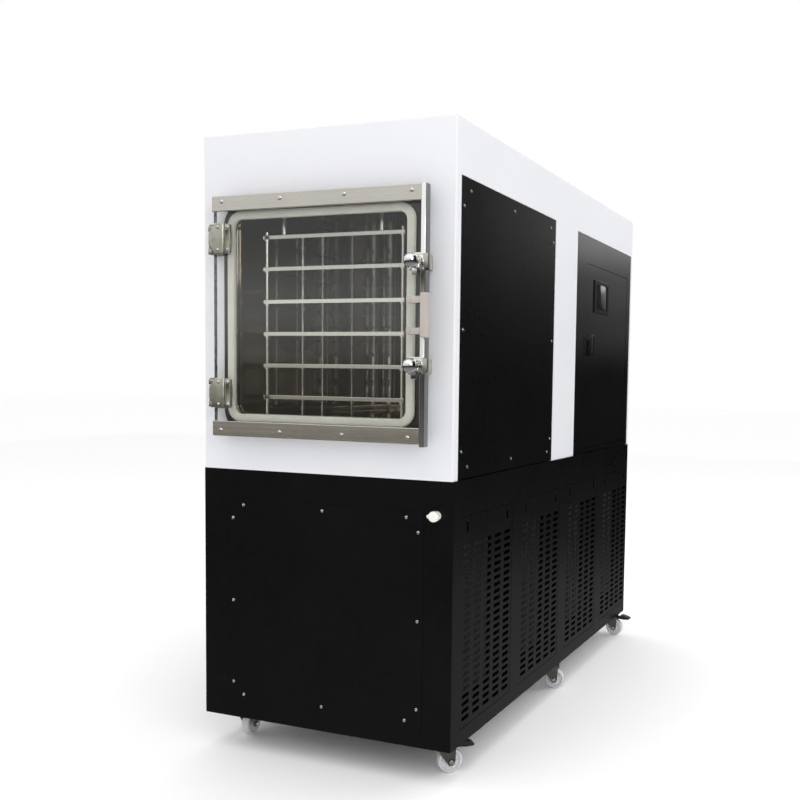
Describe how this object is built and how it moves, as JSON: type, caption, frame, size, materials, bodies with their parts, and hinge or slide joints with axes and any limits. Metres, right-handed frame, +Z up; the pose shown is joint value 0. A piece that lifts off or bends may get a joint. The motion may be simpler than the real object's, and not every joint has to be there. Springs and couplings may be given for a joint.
{
  "type": "freeze dryer",
  "caption": "Upright shelf freeze dryer: white housing with clear hinged chamber door, black vented base with control door, on swivel casters.",
  "frame": {"origin": "bottom centre of the whole machine, on the floor under its wheels", "axes": "+Z up, -Y towards the chamber door (front), +Y to the rear along the machine's length, +X to the right seen from the front, on the side of the electrical door"},
  "size_m": [0.894, 2.079, 1.887],
  "materials": {
    "white_paint": "smooth semi-gloss powder coat",
    "black_panel": "satin powder coat",
    "black_gloss": "semi-gloss powder coat",
    "frame_black": "matt paint",
    "brushed_steel": "brushed",
    "cast_steel": "bead blasted cast stainless",
    "chamber_steel": "ground stainless",
    "shelf_steel": "ground stainless",
    "braided_steel": "braided hose",
    "screw_steel": "bright zinc",
    "chrome_knob": "polished",
    "acrylic": "clear, polished",
    "silicone": "satin white silicone",
    "black_rubber": "satin",
    "handle_grey": "fine texture",
    "screen_black": "gloss",
    "lock_metal": "satin die cast",
    "aluminium_plate": "mill",
    "filter_foam": "open foam",
    "zinc": "zinc plated pressed steel",
    "wheel_white": "moulded nylon",
    "pedal_black": "moulded",
    "valve_white": "moulded",
    "copper": "drawn copper",
    "compressor_black": "gloss enamel",
    "fin_aluminium": "fins",
    "fan_black": "moulded",
    "pump_grey": "enamel"
  },
  "bodies": {
    "root": {"caster_plates": "zinc", "base_frame": "frame_black", "base_front_skin": "black_panel", "front_service_cover": "black_panel", "base_side_skins": "black_panel", "vent_panels_right": "black_panel", "vent_panels_left": "black_panel", "air_filters": "filter_foam", "base_rear_panel": "black_panel", "upper_housing": "white_paint", "side_panel_right": "black_panel", "side_panels_left": "black_panel", "upper_rear_panel": "white_paint", "panel_screws": "screw_steel", "electrical_door_frame": "black_gloss", "electrical_plate": "aluminium_plate", "chamber": "chamber_steel", "flange_trim": "black_rubber", "door_gasket": "silicone", "hinge_brackets": "cast_steel", "clamp_keepers": "brushed_steel", "shelves": "shelf_steel", "shelf_rods": "shelf_steel", "shelf_hoses": "braided_steel", "cold_trap": "chamber_steel", "cold_trap_coil": "copper", "compressors": "compressor_black", "condenser": "fin_aluminium", "vacuum_pump": "pump_grey", "oil_tank": "chamber_steel", "drain_valve_body": "valve_white"},
    "door": {"door_plate": "acrylic", "door_cross_bars": "brushed_steel", "door_side_bar": "brushed_steel", "door_screws": "screw_steel", "hinge_leaves": "cast_steel", "door_handle": "handle_grey"},
    "clamp_upper": {"clamp_knob_upper": "chrome_knob"},
    "clamp_lower": {"clamp_knob_lower": "chrome_knob"},
    "electrical_leaf": {"electrical_door": "black_gloss", "touch_screen": "screen_black"},
    "lock": {"lock_handle": "lock_metal"},
    "fan": {"condenser_fan": "fan_black"},
    "valve_knob": {"drain_valve_knob": "valve_white"},
    "swivel_fl": {"caster_fork_fl": "zinc"},
    "wheel_fl": {"caster_wheel_fl": "wheel_white"},
    "pedal_fl": {"brake_pedal_fl": "pedal_black"},
    "swivel_fr": {"caster_fork_fr": "zinc"},
    "wheel_fr": {"caster_wheel_fr": "wheel_white"},
    "pedal_fr": {"brake_pedal_fr": "pedal_black"},
    "swivel_ml": {"caster_fork_ml": "zinc"},
    "wheel_ml": {"caster_wheel_ml": "wheel_white"},
    "swivel_mr": {"caster_fork_mr": "zinc"},
    "wheel_mr": {"caster_wheel_mr": "wheel_white"},
    "swivel_rl": {"caster_fork_rl": "zinc"},
    "wheel_rl": {"caster_wheel_rl": "wheel_white"},
    "pedal_rl": {"brake_pedal_rl": "pedal_black"},
    "swivel_rr": {"caster_fork_rr": "zinc"},
    "wheel_rr": {"caster_wheel_rr": "wheel_white"},
    "pedal_rr": {"brake_pedal_rr": "pedal_black"}
  },
  "joints": [
    {"name": "door_hinge", "type": "hinge", "parent": "root", "child": "door", "pos_m": [-0.378, -0.9685, 1.34], "axis": [0, 0, -1], "range_deg": [0, 105]},
    {"name": "clamp_upper_turn", "type": "hinge", "parent": "door", "child": "clamp_upper", "pos_m": [0.312, -0.9905, 1.484], "axis": [0, -1, 0], "range_deg": [0, 90]},
    {"name": "clamp_lower_turn", "type": "hinge", "parent": "door", "child": "clamp_lower", "pos_m": [0.312, -0.9905, 1.202], "axis": [0, -1, 0], "range_deg": [0, 90]},
    {"name": "electrical_door_hinge", "type": "hinge", "parent": "root", "child": "electrical_leaf", "pos_m": [0.3925, 0.9265, 1.265], "axis": [0, 0, 1], "range_deg": [0, 95]},
    {"name": "lock_turn", "type": "hinge", "parent": "electrical_leaf", "child": "lock", "pos_m": [0.4, 0.3645, 1.328], "axis": [-1, 0, 0], "range_deg": [0, 90]},
    {"name": "fan_spin", "type": "hinge", "parent": "root", "child": "fan", "pos_m": [0.184, -0.1755, 0.44], "axis": [1, 0, 0], "continuous": true},
    {"name": "valve_turn", "type": "hinge", "parent": "root", "child": "valve_knob", "pos_m": [0.353, -0.9355, 0.783], "axis": [0, -1, 0], "range_deg": [0, 90]},
    {"name": "swivel_turn_fl", "type": "hinge", "parent": "root", "child": "swivel_fl", "pos_m": [-0.371, -0.8195, 0.1], "axis": [0, 0, 1], "continuous": true},
    {"name": "wheel_spin_fl", "type": "hinge", "parent": "swivel_fl", "child": "wheel_fl", "pos_m": [-0.37212, -0.78752, 0.0375], "axis": [0.9994, 0.0349, 0], "continuous": true},
    {"name": "brake_press_fl", "type": "hinge", "parent": "swivel_fl", "child": "pedal_fl", "pos_m": [-0.37233, -0.78152, 0.083], "axis": [-0.9994, -0.0349, 0], "range_deg": [0, 12]},
    {"name": "swivel_turn_fr", "type": "hinge", "parent": "root", "child": "swivel_fr", "pos_m": [0.325, -0.8255, 0.1], "axis": [0, 0, 1], "continuous": true},
    {"name": "wheel_spin_fr", "type": "hinge", "parent": "swivel_fr", "child": "wheel_fr", "pos_m": [0.34951, -0.80493, 0.0375], "axis": [0.6428, -0.766, 0], "continuous": true},
    {"name": "brake_press_fr", "type": "hinge", "parent": "swivel_fr", "child": "pedal_fr", "pos_m": [0.35411, -0.80107, 0.083], "axis": [-0.6428, 0.766, 0], "range_deg": [0, 12]},
    {"name": "swivel_turn_ml", "type": "hinge", "parent": "root", "child": "swivel_ml", "pos_m": [-0.384, 0.0795, 0.1], "axis": [0, 0, 1], "continuous": true},
    {"name": "wheel_spin_ml", "type": "hinge", "parent": "swivel_ml", "child": "wheel_ml", "pos_m": [-0.39174, 0.11055, 0.0375], "axis": [0.9703, 0.2419, 0], "continuous": true},
    {"name": "swivel_turn_mr", "type": "hinge", "parent": "root", "child": "swivel_mr", "pos_m": [0.345, 0.0865, 0.1], "axis": [0, 0, 1], "continuous": true},
    {"name": "wheel_spin_mr", "type": "hinge", "parent": "swivel_mr", "child": "wheel_mr", "pos_m": [0.37651, 0.09206, 0.0375], "axis": [0.1736, -0.9848, 0], "continuous": true},
    {"name": "swivel_turn_rl", "type": "hinge", "parent": "root", "child": "swivel_rl", "pos_m": [-0.384, 0.9595, 0.1], "axis": [0, 0, 1], "continuous": true},
    {"name": "wheel_spin_rl", "type": "hinge", "parent": "swivel_rl", "child": "wheel_rl", "pos_m": [-0.35629, 0.9755, 0.0375], "axis": [0.5, -0.866, 0], "continuous": true},
    {"name": "brake_press_rl", "type": "hinge", "parent": "swivel_rl", "child": "pedal_rl", "pos_m": [-0.35109, 0.9785, 0.083], "axis": [-0.5, 0.866, 0], "range_deg": [0, 12]},
    {"name": "swivel_turn_rr", "type": "hinge", "parent": "root", "child": "swivel_rr", "pos_m": [0.343, 0.9595, 0.1], "axis": [0, 0, 1], "continuous": true},
    {"name": "wheel_spin_rr", "type": "hinge", "parent": "swivel_rr", "child": "wheel_rr", "pos_m": [0.375, 0.9595, 0.0375], "axis": [0, -1, 0], "continuous": true},
    {"name": "brake_press_rr", "type": "hinge", "parent": "swivel_rr", "child": "pedal_rr", "pos_m": [0.381, 0.9595, 0.083], "axis": [0, 1, 0], "range_deg": [0, 12]}
  ]
}
